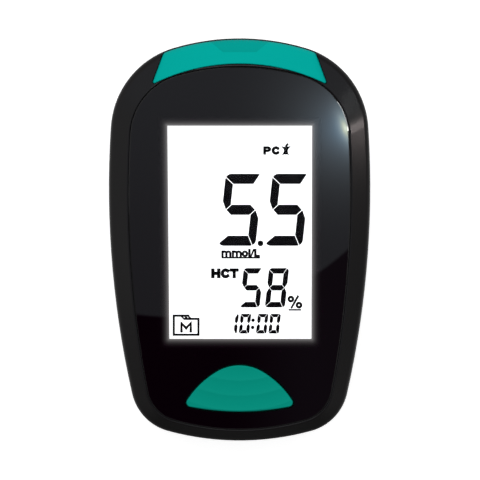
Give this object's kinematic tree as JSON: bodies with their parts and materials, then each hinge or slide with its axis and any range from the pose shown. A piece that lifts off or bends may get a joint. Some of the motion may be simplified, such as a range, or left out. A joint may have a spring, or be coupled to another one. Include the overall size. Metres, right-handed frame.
{
  "type": "blood glucose meter",
  "caption": "Egg-shaped handheld meter with a black window over a lit display, a strip slot in its top end, a hill-shaped main button, a strip ejector and a hinged battery door at the back.",
  "frame": {"origin": "on the flat back, under the middle of the body", "axes": "+X across the meter, +Y along it towards the strip slot, +Z out of the display"},
  "size_m": [0.0624, 0.096, 0.0246],
  "materials": {
    "housing_satin": "fine satin, charcoal",
    "window_clear": "polished clear acrylic",
    "window_ink": "black print behind the window",
    "tape": "black adhesive film",
    "teal_satin": "satin teal",
    "silicone": "translucent grey silicone",
    "lcd_glass": "polished glass with a polariser",
    "diffuser": "white light guide",
    "frame_white": "moulded white",
    "foam": "closed-cell foam",
    "zebra": "layered conductive rubber",
    "board": "green solder mask",
    "connector_black": "moulded black",
    "gold": "gold-plated spring contact",
    "nickel": "nickel-plated steel",
    "spring_steel": "drawn wire",
    "led": "clear resin",
    "ejector_satin": "satin teal",
    "carriage": "moulded dark grey",
    "door_satin": "fine satin, charcoal",
    "cell_jacket": "plain printed film jacket",
    "set_rubber": "grey rubber",
    "switch_metal": "pressed steel cover",
    "steel_shell": "pressed steel shell",
    "buzzer_black": "moulded black",
    "chip_black": "moulded epoxy",
    "screw_steel": "dark zinc plate"
  },
  "bodies": {
    "housing": {"front_housing": "housing_satin", "rear_housing": "housing_satin", "display_lens": "window_clear", "lens_mask": "window_ink", "lens_tape": "tape", "strip_port_cover": "teal_satin", "button_dome": "silicone", "lcd_front_glass": "lcd_glass", "lcd_rear_glass": "lcd_glass", "backlight_panel": "diffuser", "lcd_frame": "frame_white", "lcd_gasket": "foam", "zebra_connector": "zebra", "main_board": "board", "strip_connector": "connector_black", "strip_contacts": "gold", "port_led": "led", "ejector_spring": "spring_steel", "battery_left": "cell_jacket", "battery_right": "cell_jacket", "battery_springs": "spring_steel", "contact_bridge": "nickel", "contact_positive": "nickel", "contact_negative": "nickel", "set_switch": "switch_metal", "data_port": "steel_shell", "buzzer": "buzzer_black", "controller_chips": "chip_black", "housing_screws": "screw_steel"},
    "main_button": {"main_button": "teal_satin"},
    "ejector": {"ejector_slider": "ejector_satin", "ejector_carriage": "carriage"},
    "door": {"battery_door": "door_satin"},
    "set_key": {"set_button": "set_rubber", "set_plunger": "connector_black"}
  },
  "joints": [
    {"name": "main_button_press", "type": "slide", "parent": "housing", "child": "main_button", "axis": [0, 0, -1], "range_m": [0, 0.0009], "stiffness_N_per_m": 1200, "springref_m": -0.0005, "deforming": ["button_dome"]},
    {"name": "ejector_slide", "type": "slide", "parent": "housing", "child": "ejector", "axis": [0, 1, 0], "range_m": [0, 0.005], "stiffness_N_per_m": 250, "springref_m": -0.004, "deforming": ["ejector_spring"]},
    {"name": "battery_door_hinge", "type": "hinge", "parent": "housing", "child": "door", "pos_m": [0, -0.0386, 0.0001], "axis": [-1, 0, 0], "range_deg": [0, 60]},
    {"name": "set_key_press", "type": "slide", "parent": "housing", "child": "set_key", "axis": [0, 0, 1], "range_m": [0, 0.0005], "stiffness_N_per_m": 1500, "springref_m": -0.0003}
  ]
}
